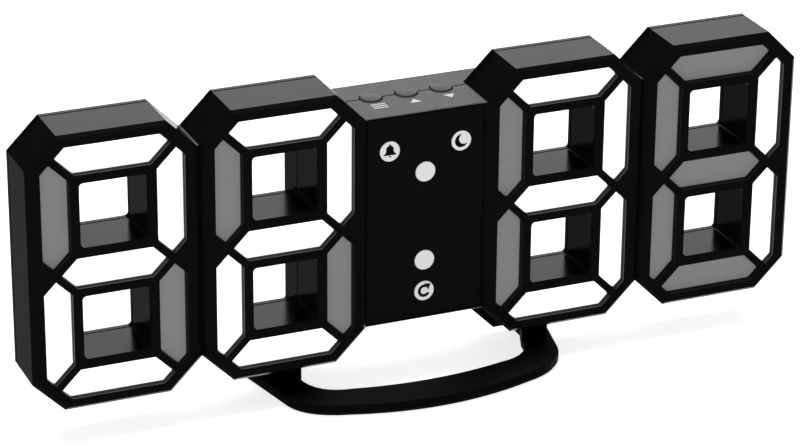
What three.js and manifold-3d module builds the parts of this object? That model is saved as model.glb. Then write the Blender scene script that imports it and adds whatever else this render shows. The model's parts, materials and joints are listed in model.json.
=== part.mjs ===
// Digital clock: four open seven-bar numerals and a centre box in one black case, on a hinged stand.
// Millimetres, +Z up, front towards -Y. The pieces are drawn in the case's own place: x = 0 midway
// between the two pairs of numerals, y = 0 on their front face and z = 0 at their middle height.
import * as THREE from "three";
import { mergeVertices } from "three/addons/utils/BufferGeometryUtils.js";
import Module from "manifold-3d";

// Numerals
const NUMERAL_WIDTH = 51.8;
const NUMERAL_HEIGHT = 86.4;
const CORNER_CUT = 9.6;
const PAIR_GAP = 0.6;
const CENTRE_WIDTH = 38.2;
const EDGE_CHAMFER = 1;
const HOLE_SIDE = 3.1;
const HOLE_END = 2.925;
const HOLE_CORNER = 1.2;
const HOLE_LIP = 0.5;

// Bars of a numeral
const SIDE_FRAME = 4.25;
const TOP_FRAME = 3.6;
const CORNER_FRAME = 4;
const UPRIGHT_BAR = 8.5;
const END_BAR = 9;
const MIDDLE_BAR = 9.5;
const RIB = 2.4;
const TIP_GAP = 3.2;

// Case walls and depths
const NUMERAL_DEPTH = 18.5;
const HUMP_DEPTH = 9.8;
const REAR_PLATE = 1.6;
const SEAM = 0.6;
const WALL = 1.8;
const TUBE_WALL = 1.6;
const FRONT_WALL = 3;
const BAR_RECESS = 1.8;
const BRIDGE_DEPTH = 3.2;
const PASSAGE_MARGIN = 0.6;

// Running and fitting clearances, and one overrun for every cut
const GAP = 0.3;
const SNUG = 0.2;
const OVERRUN = 5;

// Light parts
const LENS_FIT = 0.15;
const FLANGE = 0.8;
const FLANGE_THICKNESS = 1.2;
const BOARD_THICKNESS = 1.6;
const LED_LENGTH = 3;
const LED_WIDTH = 1.6;
const LED_HEIGHT = 0.8;
const LED_SPACING = 9;
const CHIP_SIZE = 9;
const CHIP_HEIGHT = 1.6;

// Centre box: how far its front lies behind the numerals and its top above their shoulders, its
// panel and its lights
const BOX_RECESS = 1.2;
const BOX_RISE = 0.3;
const BOX_CHAMFER = 0.3;
const PANEL_RIM = 0.3;
const PANEL_SINK = 0.1;
const PANEL_THICKNESS = 1.2;
const PANEL_FLOOR = 1.5;
const LIGHT_MARGIN = 3.5;
const BADGE_DIAMETER = 6.3;
const BADGE_LIGHT = 4.6;
const BADGE_SPREAD = 11.5;
const UPPER_BADGE_DROP = 11;
const DOT_DROP = 19.2;
const LOWER_BADGE_RISE = 9;

// Buttons and their switches
const BUTTON_DIAMETER = 6.8;
const BUTTON_SPACING = 11.35;
const BUTTON_PROUD = 0.65;
const BUTTON_DOME = 0.3;
const BUTTON_FLANGE = 0.8;
const BUTTON_FLANGE_THICKNESS = 0.9;
const BUTTON_TRAVEL = 0.6;
const SWITCH_SIZE = 5.2;
const SWITCH_HEIGHT = 3.4;
const SWITCH_TIP = 0.5;
const SWITCH_TIP_DIAMETER = 2.4;
const BUTTON_BOARD_WIDTH = 32;
const BUTTON_BOARD_DEPTH = 8.4;
const STEM_DIAMETER = 2.4;
const STEM_LENGTH = 0.4;

// Screws and the bosses that they join
const SCREW_DIAMETER = 2.4;
const SCREW_LENGTH = 10;
const SCREW_HEAD = 4.2;
const SCREW_HEAD_THICKNESS = 1.4;
const SCREW_SLOT = 0.6;
const BOSS_DIAMETER = 4.6;
const PAD_DIAMETER = 7.2;
const PAD_FLOOR = 1.5;
const SEAT_DEPTH = 1.9;
const SLOT_DEPTH = 0.7;
const OUTER_SCREW_EDGE = 4.2;
const CENTRE_SCREW_SIDE = 2.1;
const CENTRE_SCREW_RISE = 3.9;

// Battery, its clip and its sliding cover
const CELL_DIAMETER = 20;
const CELL_THICKNESS = 3.2;
const CELL_RISE = 14.8;
const CLIP_WALL = 1.4;
const CLIP_FLOOR = 1;
const CELL_SINK = 0.6;
const CELL_OPENING = 0.8;
const DOOR_WIDTH = 24;
const DOOR_HEIGHT = 28;
const DOOR_THICKNESS = 1.6;
const DOOR_LEDGE = 1.8;
const DOOR_SIDE = 3.4;
const TONGUE_WIDTH = 1.2;
const TONGUE_THICKNESS = 0.6;
const GRIP_RIDGES = 4;
const GRIP_WIDTH = 10;
const GRIP_PITCH = 1.8;
const GRIP_RIDGE = 0.8;
const GRIP_DEPTH = 0.6;
const GRIP_RISE = 7.4;

// Posts that hold the circuit board, and rails under the button board
const POST_WIDTH = 3;
const RAIL_X = 13;
const RAIL_WIDTH = 2;

// Power socket and buzzer
const SOCKET_WIDTH = 9;
const SOCKET_HEIGHT = 3.6;
const SOCKET_DEPTH = 6.5;
const SOCKET_SHELL = 0.5;
const SOCKET_TONGUE = 0.8;
const SOCKET_FLOOR = 1;
const BRACKET = 1.2;
const REAR_PART_X = 24;
const REAR_PART_Z = 4;
const BUZZER_DIAMETER = 12;
const BUZZER_HEIGHT = 5.4;
const SOUND_HOLE = 1.6;
const SOUND_HOLES = 6;
const SOUND_RING = 3.4;

// Ears of the rear shell, and the stand that turns on them
const STAND_LIFT = 12;
const EAR_INNER = 31;
const EAR_OUTER = 39.6;
const EAR_CLEARANCE = 5.3;
const EAR_FLARE_RISE = 2.4;
const EAR_DEPTH = 9;
const HINGE_BEHIND = 4.5;
const HINGE_BELOW = 3.2;
const HINGE_SPAN = 8;
const PIN_DIAMETER = 3;
const PIN_HEAD = 4.8;
const PIN_HEAD_THICKNESS = 1;
const PIN_REACH = 4.8;
const KNUCKLE_RADIUS = 4;
const POST_FRONT = 14.5;
const WEB_FRONT = 9;
const WEB_THICKNESS = 1.6;
const STRIP_THICKNESS = 2.7;
const SOLE_THICKNESS = 1.1;
const SOLE_INSET = 0.8;
const HEEL_CHAMFER = 2.4;
const POST_GAP = 0.4;

// Plan of the stand: its bowed front, the turn into each arm, and the start of the arm's straight run
const OUTER_EDGE = { front: -16.8, bow: 4.8, bowHalf: 29.3, turn: [44.2, -8.4], arm: [45.6, 3] };
const INNER_EDGE = { front: -4.8, bow: 2.7, bowHalf: 24.4, turn: [35.9, -1], arm: [36.9, 10] };
const HEEL_WIDTH = 10.6;

// Steps of the round forms
const ROUND_STEPS = 28;
const CORNER_STEPS = 3;
const BOW_STEPS = 8;
const TURN_STEPS = 8;

// Places worked out from the sizes above
const numeralHalf = NUMERAL_WIDTH / 2;
const heightHalf = NUMERAL_HEIGHT / 2;
const shoulder = heightHalf - CORNER_CUT;
const centreHalf = CENTRE_WIDTH / 2;
const innerNumeral = centreHalf + numeralHalf;
const outerNumeral = innerNumeral + NUMERAL_WIDTH + PAIR_GAP;
const numeralPlaces = [-outerNumeral, -innerNumeral, innerNumeral, outerNumeral];
const wide = outerNumeral + NUMERAL_WIDTH;
const caseDepth = NUMERAL_DEPTH + HUMP_DEPTH;
const rearRim = NUMERAL_DEPTH - REAR_PLATE;
const frontRim = rearRim - SEAM;
const topInside = shoulder - WALL;
const boxHalf = centreHalf + BOX_RISE;
const boxTop = shoulder + BOX_RISE;
const rearInside = caseDepth - WALL;
const tableZ = -(heightHalf + STAND_LIFT);
const stripBottom = tableZ + SOLE_THICKNESS;

// Edges of the bars inside a numeral, on its right-hand upper quarter
const uprightOuter = numeralHalf - SIDE_FRAME;
const uprightInner = uprightOuter - UPRIGHT_BAR;
const uprightMiddle = (uprightOuter + uprightInner) / 2;
const endOuter = heightHalf - TOP_FRAME;
const endInner = endOuter - END_BAR;
const endMiddle = (endOuter + endInner) / 2;
const middleHalf = MIDDLE_BAR / 2;
const ribHalf = (RIB / 2) * Math.SQRT2;
const cornerLine = numeralHalf + heightHalf - CORNER_CUT - CORNER_FRAME * Math.SQRT2;
const mitreLine = endInner - uprightInner;
const middleLine = uprightInner + middleHalf;

// See-through holes, and the middle of the rear shell, which ends beside the inner ones
const holeHalf = uprightInner - HOLE_SIDE;
const holeBottom = middleHalf + HOLE_END;
const holeTop = endInner - HOLE_END;
const holeMiddle = (holeBottom + holeTop) / 2;
const holeRise = (holeTop - holeBottom) / 2;
const humpHalf = innerNumeral - holeHalf - GAP;

// Screw seats and the board that lies in front of their pads
const seatY = NUMERAL_DEPTH - SEAT_DEPTH;
const padFront = seatY - PAD_FLOOR;
const headBore = SCREW_HEAD / 2 + GAP;
const boardBack = padFront - CHIP_HEIGHT - SNUG;
const boardFront = boardBack - BOARD_THICKNESS;

// Depths of the light parts and of the centre panel, from the front wall back
const flangeFront = FRONT_WALL + SNUG / 2;
const flangeBack = flangeFront + FLANGE_THICKNESS;
const baffleFront = flangeBack + SNUG;
const baffleBack = boardFront - SNUG;
const bridgeFront = baffleBack - BRIDGE_DEPTH;
const panelFront = BOX_RECESS + PANEL_SINK;
const panelBack = panelFront + PANEL_THICKNESS;
const pocketFloor = panelBack + SNUG;
const pocketBack = pocketFloor + PANEL_FLOOR;
const pocketX = centreHalf - PANEL_RIM;
const pocketTop = boxTop - BOX_CHAMFER - PANEL_RIM;
const pocketBottom = -shoulder + BOX_CHAMFER + PANEL_RIM;

// Passages for the light parts from cavity to cavity, and the plate behind the centre panel
const passageHalf = holeBottom - TUBE_WALL - PASSAGE_MARGIN;
const bridgeHalf = passageHalf - PASSAGE_MARGIN;
const bridgeReach = SIDE_FRAME - SNUG * 2;
const upperBadgeZ = shoulder - UPPER_BADGE_DROP;
const lowerBadgeZ = LOWER_BADGE_RISE - shoulder;
const dotZ = shoulder - DOT_DROP;
const plateHalf = BADGE_SPREAD + LIGHT_MARGIN;
const plateTop = upperBadgeZ + LIGHT_MARGIN - PASSAGE_MARGIN;
const plateBottom = lowerBadgeZ - LIGHT_MARGIN;

// Screws, lights and buttons
const outerScrew = outerNumeral + numeralHalf - OUTER_SCREW_EDGE;
const centreScrew = centreHalf - CENTRE_SCREW_SIDE;
const outerScrews = [[-outerScrew, 0], [outerScrew, 0]];
const centreScrews = [-centreScrew, centreScrew].map((x) => [x, CENTRE_SCREW_RISE - shoulder]);
const lightPlaces = [
  [-BADGE_SPREAD, upperBadgeZ], [BADGE_SPREAD, upperBadgeZ], [0, dotZ], [0, -dotZ], [0, lowerBadgeZ],
];
const buttonPlaces = [-BUTTON_SPACING, 0, BUTTON_SPACING];
const buttonY = frontRim + SEAM / 2;
const buttonBore = BUTTON_DIAMETER / 2 + GAP;
const flangeTop = topInside - SNUG / 2;
const flangeBottom = flangeTop - BUTTON_FLANGE_THICKNESS;
const stemBottom = flangeBottom - STEM_LENGTH;
const tipTop = stemBottom - BUTTON_TRAVEL - SNUG / 2;
const boardTop = tipTop - SWITCH_TIP - SWITCH_HEIGHT;
const boardBottom = boardTop - BOARD_THICKNESS;

// Battery and its cover
const doorHalf = DOOR_WIDTH / 2;
const doorFront = caseDepth - DOOR_THICKNESS;
const doorBottom = -shoulder;
const doorTop = doorBottom + DOOR_HEIGHT;
const cellZ = doorBottom + CELL_RISE;
const ledgeFront = rearInside - DOOR_LEDGE;
const cellBack = rearInside - CELL_SINK;
const cellFront = cellBack - CELL_THICKNESS;
const cellRadius = CELL_DIAMETER / 2;

// Power socket and buzzer
const socketFront = caseDepth - SNUG - SOCKET_DEPTH;
const buzzerRadius = BUZZER_DIAMETER / 2;
const buzzerFront = rearInside - SNUG / 2 - BUZZER_HEIGHT;

// Ears and stand
const earBottom = heightHalf + STAND_LIFT - EAR_CLEARANCE;
const earFlareTop = shoulder - EAR_FLARE_RISE;
const hingeY = NUMERAL_DEPTH + HINGE_BEHIND;
const hingeZ = -heightHalf - HINGE_BELOW;
const heelY = hingeY + KNUCKLE_RADIUS;
const heelInner = EAR_OUTER + POST_GAP;
const heelHalf = heelInner + HEEL_WIDTH;

const wasm = await Module();
wasm.setup();

// A closed geometry as a solid that can be joined and cut
function solid(geometry) {
  const bare = new THREE.BufferGeometry();
  bare.setAttribute("position", geometry.getAttribute("position"));
  if (geometry.index) bare.setIndex(geometry.index);
  const merged = mergeVertices(bare);
  const corners = merged.index.array;
  const kept = [];
  for (let i = 0; i < corners.length; i += 3) {
    const [a, b, c] = corners.subarray(i, i + 3);
    if (a !== b && b !== c && c !== a) kept.push(a, b, c);
  }
  return new wasm.Manifold(new wasm.Mesh({
    numProp: 3,
    vertProperties: Float32Array.from(merged.getAttribute("position").array),
    triVerts: Uint32Array.from(kept),
  }));
}

// A solid as a flat-shaded geometry
function geometryOf(body) {
  const mesh = body.getMesh();
  const geometry = new THREE.BufferGeometry();
  geometry.setAttribute("position", new THREE.BufferAttribute(mesh.vertProperties, 3));
  geometry.setIndex(new THREE.BufferAttribute(mesh.triVerts, 1));
  const flat = geometry.toNonIndexed();
  flat.computeVertexNormals();
  return flat;
}

// An outline drawn along its own depth, with both ends narrowed by the chamfer
function drawn(outline, depth, chamfer) {
  const flat = outline instanceof THREE.Shape;
  const shape = flat ? outline : new THREE.Shape(outline.map(([u, v]) => new THREE.Vector2(u, v)));
  return new THREE.ExtrudeGeometry(shape, {
    depth: depth - chamfer * 2,
    bevelEnabled: chamfer > 0,
    bevelSegments: 1,
    bevelThickness: chamfer,
    bevelSize: chamfer,
    bevelOffset: -chamfer,
    curveSegments: CORNER_STEPS,
  });
}

// An outline in x and z, drawn from y = front to y = back
function slab(outline, front, back, chamfer = 0) {
  const geometry = drawn(outline, back - front, chamfer);
  return solid(geometry.rotateX(Math.PI / 2).translate(0, back - chamfer, 0));
}

// An outline in x and y, drawn from one height to another
function plan(outline, low, high) {
  return solid(drawn(outline, high - low, 0).translate(0, 0, low));
}

// An outline in y and z, drawn right across the case
function across(outline) {
  const geometry = drawn(outline, wide * 2, 0);
  return solid(geometry.rotateX(Math.PI / 2).rotateZ(Math.PI / 2).translate(wide, 0, 0));
}

// A box between two corners
function block(low, high) {
  const size = high.map((value, i) => value - low[i]);
  const middle = low.map((value, i) => value + size[i] / 2);
  return solid(new THREE.BoxGeometry(...size).translate(...middle));
}

// A round bar along x, y or z, from one place on that axis to another
function bar(axis, centre, radius, from, to) {
  const geometry = new THREE.CylinderGeometry(radius, radius, to - from, ROUND_STEPS);
  const middle = (from + to) / 2;
  if (axis === "x") geometry.rotateZ(Math.PI / 2).translate(middle, centre[0], centre[1]);
  if (axis === "y") geometry.translate(centre[0], middle, centre[1]);
  if (axis === "z") geometry.rotateX(Math.PI / 2).translate(centre[0], centre[1], middle);
  return solid(geometry);
}

function joined(bodies) {
  return bodies.reduce((sum, body) => sum.add(body));
}

function cut(body, tools) {
  return tools.reduce((rest, tool) => rest.subtract(tool), body);
}

// Only what lies from y = front to y = back
function between(body, front, back) {
  return body.intersect(block([-wide, front, -wide], [wide, back, wide]));
}

// The numeral's outline, moved in by an inset on all eight sides
function octagon(centre, inset) {
  const half = numeralHalf - inset;
  const high = heightHalf - inset;
  const cutIn = CORNER_CUT - inset * (2 - Math.SQRT2);
  const corners = [
    [half, high - cutIn], [half - cutIn, high], [cutIn - half, high], [-half, high - cutIn],
    [-half, cutIn - high], [cutIn - half, -high], [half - cutIn, -high], [half, cutIn - high],
  ];
  return corners.map(([x, z]) => [centre + x, z]);
}

// A rectangle with rounded corners
function rounded(centre, middle, halfWidth, halfHeight, radius) {
  const right = centre + halfWidth - radius;
  const left = centre - halfWidth + radius;
  const top = middle + halfHeight - radius;
  const bottom = middle - halfHeight + radius;
  const shape = new THREE.Shape();
  shape.absarc(right, top, radius, 0, Math.PI / 2);
  shape.absarc(left, top, radius, Math.PI / 2, Math.PI);
  shape.absarc(left, bottom, radius, Math.PI, Math.PI * 1.5);
  shape.absarc(right, bottom, radius, Math.PI * 1.5, Math.PI * 2);
  return shape;
}

function rectangle(left, bottom, right, top) {
  return [[left, bottom], [right, bottom], [right, top], [left, top]];
}

function mirrored(points, signX, signZ) {
  return points.map(([x, z]) => [x * signX, z * signZ]);
}

function shifted(points, x, z) {
  return points.map((point) => [point[0] + x, point[1] + z]);
}

// The seven bars of a numeral about its middle: a on top, b and c on the right, d at the bottom,
// e and f on the left, g in the middle. Grow widens an outline on every side.
function barOutlines(grow) {
  const slant = grow * Math.SQRT2;
  const corner = cornerLine + slant;
  const endMitre = mitreLine + ribHalf - slant;
  const uprightMitre = mitreLine - ribHalf + slant;
  const lowerLine = middleLine + ribHalf - slant;
  const tipLine = middleLine + ribHalf - TIP_GAP + slant;
  const top = endOuter + grow;
  const bottom = endInner - grow;
  const right = uprightOuter + grow;
  const left = uprightInner - grow;
  const tip = middleLine - ribHalf + slant;
  const half = middleHalf + grow;
  const endHalf = [
    [corner - top, top], [(corner - endMitre) / 2, (corner + endMitre) / 2], [bottom - endMitre, bottom],
  ];
  const a = [...endHalf, ...mirrored(endHalf, -1, 1).reverse()];
  const b = [
    [right, corner - right], [(corner - uprightMitre) / 2, (corner + uprightMitre) / 2],
    [left, left + uprightMitre], [left, lowerLine - left],
    [(lowerLine + tipLine) / 2, (lowerLine - tipLine) / 2], [right, right - tipLine],
  ];
  const g = [[tip, 0], [tip - half, half], [half - tip, half], [-tip, 0], [half - tip, -half], [tip - half, -half]];
  return {
    a, b, c: mirrored(b, 1, -1), d: mirrored(a, 1, -1), e: mirrored(b, -1, -1), f: mirrored(b, -1, 1), g,
  };
}

// One cutter or body for every hole through the case, wider than the hole by grow on each side
function holes(grow, front, back, chamfer = 0) {
  return numeralPlaces.flatMap((x) => [holeMiddle, -holeMiddle].map((z) => slab(
    rounded(x, z, holeHalf + grow, holeRise + grow, HOLE_CORNER + grow), front, back, chamfer)));
}

function windows(grow, front, back) {
  return numeralPlaces.flatMap((x) => Object.values(barOutlines(grow)).map(
    (outline) => slab(shifted(outline, x, 0), front, back)));
}

// Blocks across the gap in each pair, and across each side of the centre box
function bridges(half, reach, front, back) {
  const pairMiddle = (innerNumeral + outerNumeral) / 2;
  const places = [
    [pairMiddle, PAIR_GAP / 2 + reach], [-pairMiddle, PAIR_GAP / 2 + reach],
    [centreHalf, reach], [-centreHalf, reach],
  ];
  return places.map(([x, span]) => block([x - span, front, -half], [x + span, back, half]));
}

function buttonBores(radius) {
  return buttonPlaces.map((x) => bar("z", [x, buttonY], radius, topInside - WALL, shoulder + OVERRUN));
}

// Outer skin of the front shell before it is hollowed
function frontSkin() {
  const numerals = numeralPlaces.map((x) => slab(octagon(x, 0), 0, frontRim + OVERRUN, EDGE_CHAMFER));
  const centre = slab(
    rectangle(-boxHalf, -shoulder, boxHalf, boxTop), BOX_RECESS, frontRim + OVERRUN, BOX_CHAMFER);
  const webs = bridges(shoulder, WALL, BOX_RECESS + BOX_CHAMFER, frontRim);
  return between(joined([...numerals, centre, ...webs]), 0, frontRim);
}

function frontCavities() {
  const numerals = numeralPlaces.map((x) => slab(octagon(x, WALL), FRONT_WALL, frontRim + OVERRUN));
  const tubes = holes(TUBE_WALL, 0, frontRim + OVERRUN);
  const centre = block([-centreHalf, pocketBack, -topInside], [centreHalf, frontRim + OVERRUN, topInside]);
  const passages = bridges(passageHalf, WALL + GAP, bridgeFront - GAP, frontRim + OVERRUN);
  return joined([cut(joined(numerals), tubes), centre, ...passages]);
}

// Screw bosses of the front shell, each with a blind bore for its screw
function bosses() {
  const start = ([, z]) => (z ? pocketFloor + GAP : EDGE_CHAMFER + GAP);
  return [...outerScrews, ...centreScrews].map((place) => bar(
    "y", place, BOSS_DIAMETER / 2, start(place), padFront));
}

function bossBores() {
  return [...outerScrews, ...centreScrews].map((place) => bar(
    "y", place, SCREW_DIAMETER / 2 + SNUG / 2, seatY - SCREW_LENGTH - GAP, frontRim + OVERRUN));
}

function frontShell() {
  const pocket = block([-pocketX, 0, pocketBottom], [pocketX, pocketFloor, pocketTop]);
  const lights = lightPlaces.map((place) => bar("y", place, BADGE_LIGHT / 2, 0, pocketBack + GAP));
  const hollow = cut(frontSkin(), [frontCavities()]);
  return cut(joined([hollow, ...bosses()]), [
    ...holes(0, -OVERRUN, frontRim + OVERRUN), ...holes(HOLE_LIP, -OVERRUN, HOLE_LIP, HOLE_LIP),
    ...windows(0, -OVERRUN, FRONT_WALL + GAP), pocket, ...lights, ...buttonBores(buttonBore), ...bossBores(),
  ]);
}

// Ears below the rear shell's middle, which carry the stand
function ears() {
  const outline = [
    [humpHalf, -earFlareTop], [EAR_OUTER, humpHalf - EAR_OUTER - earFlareTop], [EAR_OUTER, -earBottom],
    [EAR_INNER, -earBottom], [EAR_INNER - (earBottom - shoulder), -shoulder],
  ];
  const front = NUMERAL_DEPTH - GAP;
  return [1, -1].map((sign) => slab(mirrored(outline, sign, 1), front, front + EAR_DEPTH));
}

function pinBores() {
  const radius = PIN_DIAMETER / 2 + SNUG / 2;
  const inner = EAR_OUTER - PIN_REACH - SNUG;
  const axis = [hingeY, hingeZ];
  return [
    bar("x", axis, radius, inner, EAR_OUTER + OVERRUN), bar("x", axis, radius, -EAR_OUTER - OVERRUN, -inner),
  ];
}

// Pads for the screws: the outer pair on the plate, the centre pair as deep wells
function screwPads() {
  const radius = PAD_DIAMETER / 2;
  const outer = outerScrews.map((place) => bar("y", place, radius, padFront, NUMERAL_DEPTH));
  const centre = centreScrews.map((place) => bar("y", place, radius, padFront, caseDepth - EDGE_CHAMFER));
  const inset = WALL + GAP;
  const room = joined([
    slab(octagon(-outerNumeral, inset), padFront, NUMERAL_DEPTH),
    slab(octagon(outerNumeral, inset), padFront, NUMERAL_DEPTH),
    block([GAP - centreHalf, padFront, GAP - topInside], [centreHalf - GAP, caseDepth, topInside]),
    block([-humpHalf, rearRim, -shoulder], [humpHalf, caseDepth, topInside]),
  ]);
  return joined([...outer, ...centre]).intersect(room);
}

function screwBores() {
  const clearance = SCREW_DIAMETER / 2 + GAP;
  return [...outerScrews, ...centreScrews].flatMap((place) => [
    bar("y", place, headBore, seatY, caseDepth + OVERRUN), bar("y", place, clearance, 0, caseDepth),
  ]);
}

// Posts behind the circuit board, rails under the button board, and seats of socket and buzzer
function rearSupports() {
  const half = POST_WIDTH / 2;
  const posts = numeralPlaces.flatMap((x) => [endMiddle, -endMiddle].map((z) => block(
    [x - half, boardBack + SNUG, z - half], [x + half, NUMERAL_DEPTH, z + half])));
  const rails = [RAIL_X, -RAIL_X].map((x) => block(
    [x - RAIL_WIDTH / 2, boardBack + GAP, boardBottom - RAIL_WIDTH],
    [x + RAIL_WIDTH / 2, caseDepth - WALL / 2, boardBottom]));
  const reach = SOCKET_HEIGHT / 2 + SNUG / 2;
  const brackets = [reach, -reach - BRACKET].map((z) => block(
    [REAR_PART_X - SOCKET_WIDTH / 4, socketFront, REAR_PART_Z + z],
    [REAR_PART_X + SOCKET_WIDTH / 4, caseDepth - WALL / 2, REAR_PART_Z + z + BRACKET]));
  const place = [-REAR_PART_X, REAR_PART_Z];
  const ring = cut(bar("y", place, buzzerRadius + SNUG / 2 + BRACKET, buzzerFront + BRACKET, rearInside + GAP), [
    bar("y", place, buzzerRadius + SNUG / 2, 0, rearInside)]);
  return [...posts, ...rails, ...brackets, ring];
}

// Recess of the battery cover, open at the bottom, with a groove for each of its tongues
function doorRecess() {
  const side = doorHalf + GAP;
  const plate = block([-side, doorFront - SNUG, -shoulder - OVERRUN], [side, caseDepth + OVERRUN, doorTop + GAP]);
  const groove = side + TONGUE_WIDTH;
  const tongues = block(
    [-groove, doorFront - SNUG, -shoulder - OVERRUN],
    [groove, doorFront + TONGUE_THICKNESS + SNUG, doorTop + GAP]);
  const half = cellRadius + CELL_OPENING;
  const cell = block([-half, 0, cellZ - half], [half, caseDepth, cellZ + half]);
  return [plate, tongues, cell];
}

function soundHoles() {
  return Array.from({ length: SOUND_HOLES }, (_, i) => {
    const angle = (i / SOUND_HOLES) * Math.PI * 2;
    const place = [Math.cos(angle) * SOUND_RING - REAR_PART_X, Math.sin(angle) * SOUND_RING + REAR_PART_Z];
    return bar("y", place, SOUND_HOLE / 2, rearInside - GAP, caseDepth + OVERRUN);
  });
}

// Hollow middle of the rear shell, which is open to the front behind the centre box
function hump() {
  const skin = slab(
    rectangle(-humpHalf, -shoulder, humpHalf, boxTop), rearRim - OVERRUN, caseDepth, BOX_CHAMFER);
  const inside = humpHalf - WALL;
  const ledge = doorHalf + DOOR_SIDE;
  return joined([
    cut(between(skin, rearRim, caseDepth), [
      block([-inside, NUMERAL_DEPTH, -topInside], [inside, rearInside, topInside]),
      block([GAP - centreHalf, 0, -topInside], [centreHalf - GAP, rearInside, topInside]),
    ]),
    block([-ledge, ledgeFront, -topInside - GAP], [ledge, rearInside + GAP, doorTop + DOOR_LEDGE]),
  ]);
}

function rearShell() {
  const plates = numeralPlaces.map((x) => slab(octagon(x, 0), rearRim, NUMERAL_DEPTH));
  const pairMiddle = (innerNumeral + outerNumeral) / 2;
  const webs = [pairMiddle, -pairMiddle].map((x) => block(
    [x - WALL, rearRim, -shoulder], [x + WALL, NUMERAL_DEPTH, shoulder]));
  const opened = cut(joined([...plates, ...webs]), holes(0, 0, caseDepth));
  const middle = cut(opened, [block([GAP - centreHalf, 0, -topInside], [centreHalf - GAP, caseDepth, topInside])]);
  const socketHole = slab(rounded(
    REAR_PART_X, REAR_PART_Z, SOCKET_WIDTH / 2 + SNUG, SOCKET_HEIGHT / 2 + SNUG, SOCKET_HEIGHT / 2 + SNUG / 2,
  ), rearInside, caseDepth + OVERRUN);
  return cut(joined([middle, hump(), ...ears(), screwPads(), ...rearSupports()]), [
    ...screwBores(), ...pinBores(), ...doorRecess(), ...soundHoles(), socketHole, ...buttonBores(buttonBore),
  ]);
}

// A bar lens: a plug in its window, and a flange behind the front wall
function barLens(letter) {
  const plug = slab(barOutlines(-LENS_FIT)[letter], BAR_RECESS, flangeBack);
  return joined([plug, slab(barOutlines(FLANGE)[letter], flangeFront, flangeBack)]);
}

function lightBaffle() {
  const numerals = numeralPlaces.map((x) => slab(octagon(x, WALL + GAP), baffleFront, baffleBack));
  const strips = bridges(bridgeHalf, bridgeReach, bridgeFront, baffleBack);
  const plate = block([-plateHalf, baffleFront, plateBottom], [plateHalf, baffleBack, plateTop]);
  const tie = block([-centreHalf, bridgeFront, -bridgeHalf], [centreHalf, baffleBack, bridgeHalf]);
  return cut(joined([...numerals, ...strips, plate, tie]), [
    ...holes(TUBE_WALL + GAP, 0, caseDepth), ...windows(0, 0, caseDepth),
    ...lightPlaces.map((place) => bar("y", place, BADGE_LIGHT / 2 + LED_HEIGHT / 2, 0, caseDepth)),
    ...outerScrews.map((place) => bar("y", place, BOSS_DIAMETER / 2 + GAP, 0, caseDepth)),
  ]);
}

// Middles of the LEDs: two behind each bar, one behind each light of the panel
function ledPlaces() {
  const half = LED_SPACING / 2;
  const places = [...lightPlaces];
  for (const x of numeralPlaces) {
    for (const z of [endMiddle, 0, -endMiddle]) places.push([x - half, z], [x + half, z]);
    for (const z of [holeMiddle, -holeMiddle]) {
      for (const side of [uprightMiddle, -uprightMiddle]) places.push([x + side, z - half], [x + side, z + half]);
    }
  }
  return places;
}

function circuitBoard() {
  const numerals = numeralPlaces.map((x) => slab(octagon(x, WALL + GAP * 2), boardFront, boardBack));
  const strips = bridges(bridgeHalf, bridgeReach, boardFront, boardBack);
  const plate = block([-plateHalf, boardFront, plateBottom], [plateHalf, boardBack, plateTop]);
  const tie = block([-centreHalf, boardFront, -bridgeHalf], [centreHalf, boardBack, bridgeHalf]);
  const sheet = cut(joined([...numerals, ...strips, plate, tie]), [
    ...holes(TUBE_WALL + GAP * 2, 0, caseDepth),
    ...outerScrews.map((place) => bar("y", place, BOSS_DIAMETER / 2 + GAP, 0, caseDepth)),
  ]);
  const leds = ledPlaces().map(([x, z]) => block(
    [x - LED_LENGTH / 2, boardFront - LED_HEIGHT, z - LED_WIDTH / 2],
    [x + LED_LENGTH / 2, boardFront + SNUG, z + LED_WIDTH / 2]));
  const half = CHIP_SIZE / 2;
  const chips = [0, ...numeralPlaces].map((x) => block(
    [x - half, boardBack - SNUG, -half], [x + half, boardBack + CHIP_HEIGHT, half]));
  return joined([sheet, ...leds, ...chips]);
}

function centrePanel() {
  const sheet = block(
    [SNUG - pocketX, panelFront, pocketBottom + SNUG], [pocketX - SNUG, panelBack, pocketTop - SNUG]);
  return cut(sheet, lightPlaces.map((place) => bar("y", place, BADGE_DIAMETER / 2 + LENS_FIT, 0, caseDepth)));
}

// A light of the panel: a disc in the panel, on a stem in the hole behind it
function badge() {
  return joined([
    bar("y", [0, 0], BADGE_DIAMETER / 2, panelFront, panelBack),
    bar("y", [0, 0], BADGE_LIGHT / 2 - LENS_FIT, panelBack - SNUG, pocketBack - SNUG),
  ]);
}

// A push button about its own axis, with its flange under the top wall and its stem over the switch
function button() {
  const radius = BUTTON_DIAMETER / 2;
  const rim = boxTop + BUTTON_PROUD;
  const profile = [
    [0, stemBottom], [STEM_DIAMETER / 2, stemBottom],
    [STEM_DIAMETER / 2, flangeBottom], [radius + BUTTON_FLANGE, flangeBottom],
    [radius + BUTTON_FLANGE, flangeTop], [radius, flangeTop], [radius, rim - BUTTON_DOME / 2],
    [radius - BUTTON_DOME / 2, rim], [radius / 2, rim + BUTTON_DOME / 2], [0, rim + BUTTON_DOME / 2],
  ];
  const geometry = new THREE.LatheGeometry(profile.map(([r, z]) => new THREE.Vector2(r, z)), ROUND_STEPS);
  return solid(geometry.rotateX(Math.PI / 2));
}

function buttonSwitch() {
  const half = SWITCH_SIZE / 2;
  return joined([
    block([-half, -half, 0], [half, half, SWITCH_HEIGHT]),
    bar("z", [0, 0], SWITCH_TIP_DIAMETER / 2, SWITCH_HEIGHT / 2, SWITCH_HEIGHT + SWITCH_TIP),
  ]);
}

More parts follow.
